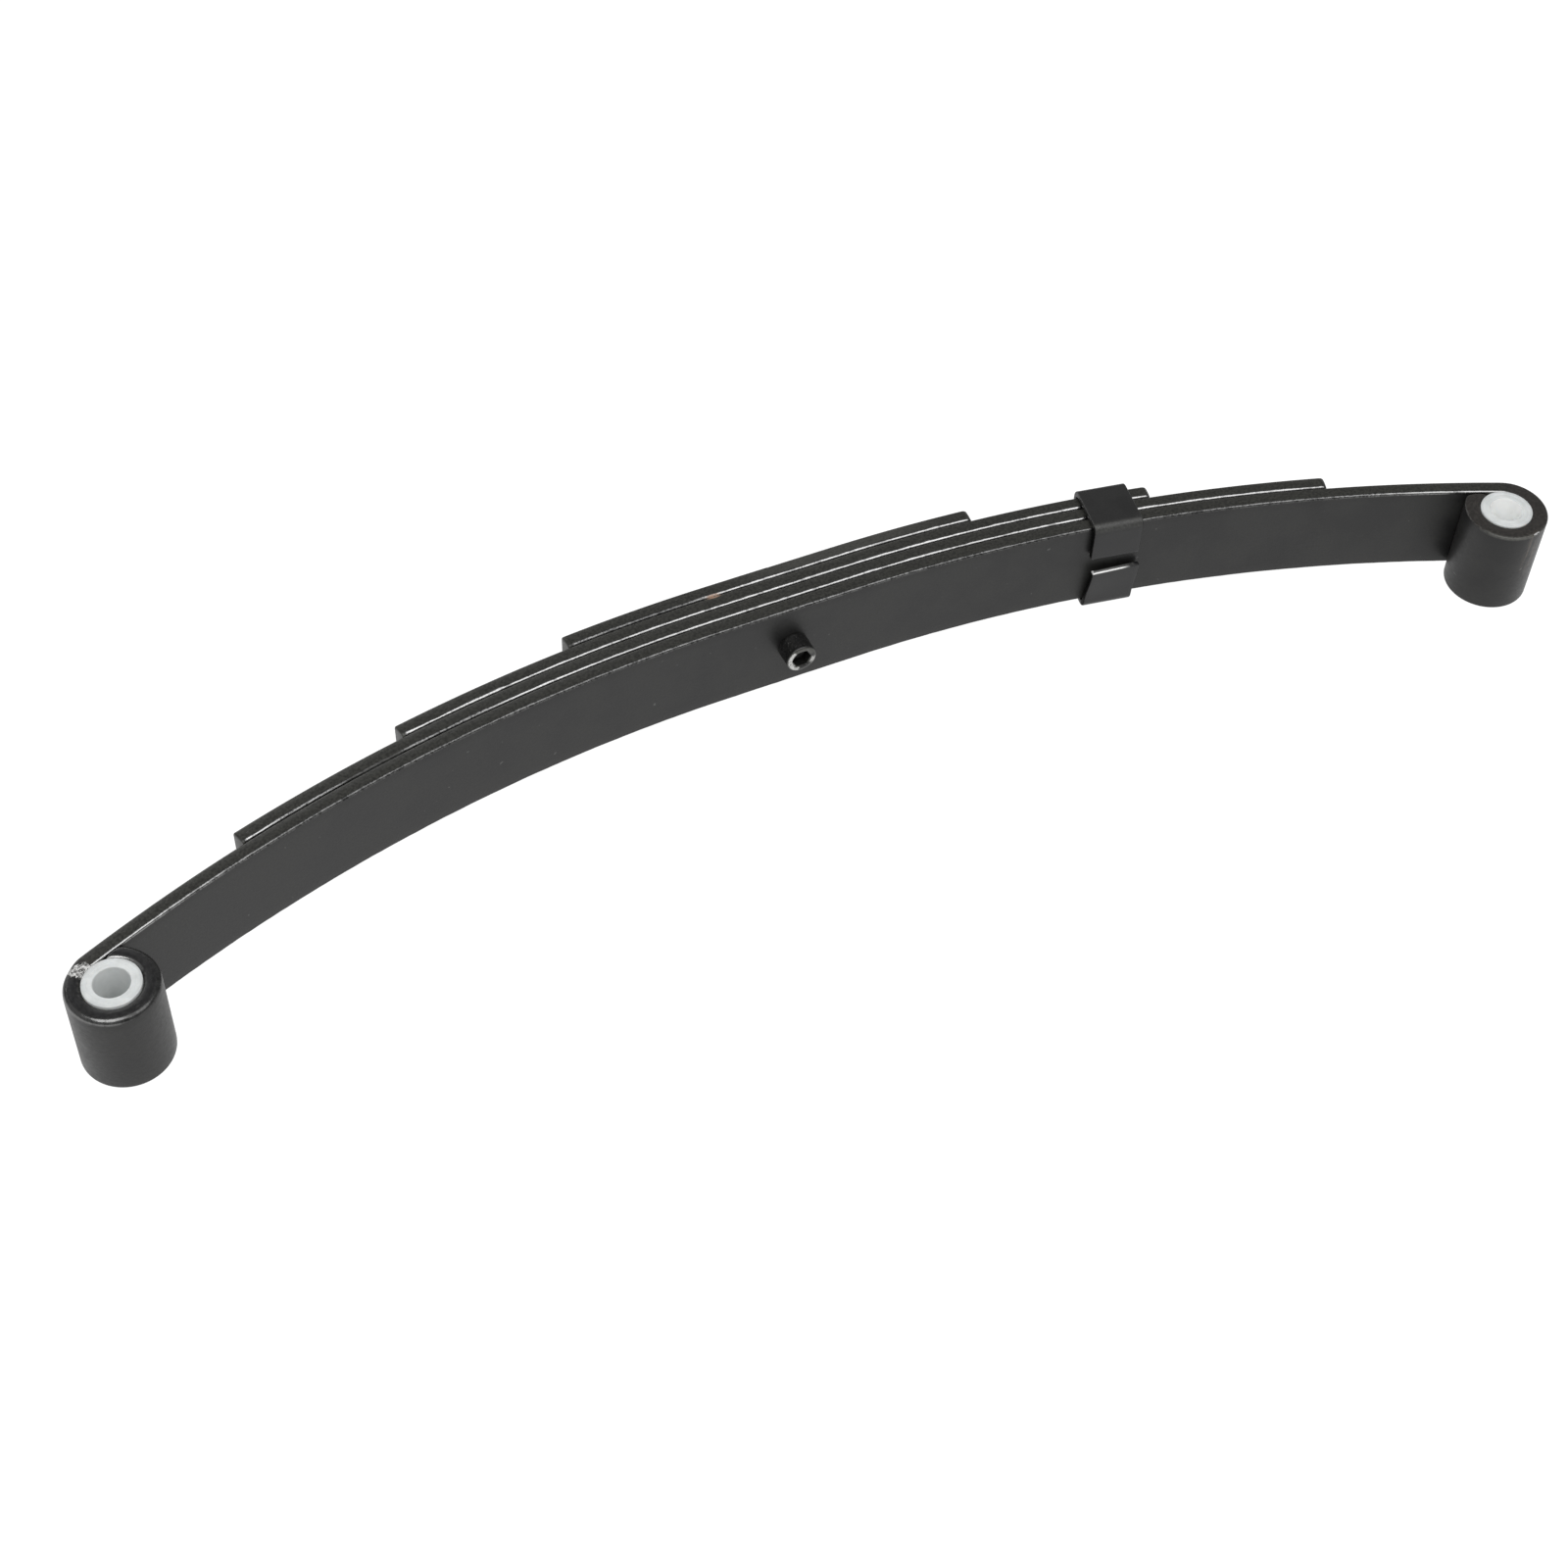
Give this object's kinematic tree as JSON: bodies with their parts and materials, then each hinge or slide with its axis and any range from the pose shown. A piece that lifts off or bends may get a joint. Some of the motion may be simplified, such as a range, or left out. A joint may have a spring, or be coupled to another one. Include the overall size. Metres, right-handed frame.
{
  "type": "leaf spring",
  "caption": "Curved multi-leaf suspension spring lying on its side, with a bushed eye at each end, a through centre bolt and a rebound clip, that bends to carry an axle.",
  "frame": {"origin": "on the centre bolt's axis where it meets the main leaf's concave seat face, half way across the leaf's width", "axes": "+X from the front eye to the rear eye, +Z across the leaves along both eye bores, -Y out of the concave side"},
  "size_m": [0.6786, 0.1302, 0.0504],
  "materials": {
    "leaf_paint": "satin black paint, glossy where it has run into the edges",
    "clip_paint": "satin black paint",
    "bolt_steel": "black oxide, worn bright on the rims",
    "nylon": "white, slightly translucent"
  },
  "bodies": {
    "spring_pack": {"main_leaf": "leaf_paint", "second_leaf": "leaf_paint", "third_leaf": "leaf_paint", "fourth_leaf": "leaf_paint", "centre_bolt": "bolt_steel", "centre_bolt_nut": "bolt_steel", "rebound_clip": "clip_paint", "clip_rivet": "clip_paint"},
    "front_end": {"front_bush": "nylon"},
    "rear_end": {"rear_bush": "nylon"}
  },
  "joints": [
    {"name": "front_arm_flex", "type": "hinge", "parent": "spring_pack", "child": "front_end", "pos_m": [-0.117, -0.0017, 0], "axis": [0, 0, -1], "range_deg": [-2, 15], "stiffness_Nm_per_rad": 2650, "deforming": ["main_leaf", "second_leaf", "third_leaf", "fourth_leaf"]},
    {"name": "rear_arm_flex", "type": "hinge", "parent": "spring_pack", "child": "rear_end", "pos_m": [0.117, -0.0017, 0], "axis": [0, 0, 1], "range_deg": [-2, 15], "stiffness_Nm_per_rad": 2650, "deforming": ["main_leaf", "second_leaf", "third_leaf", "fourth_leaf"]}
  ]
}
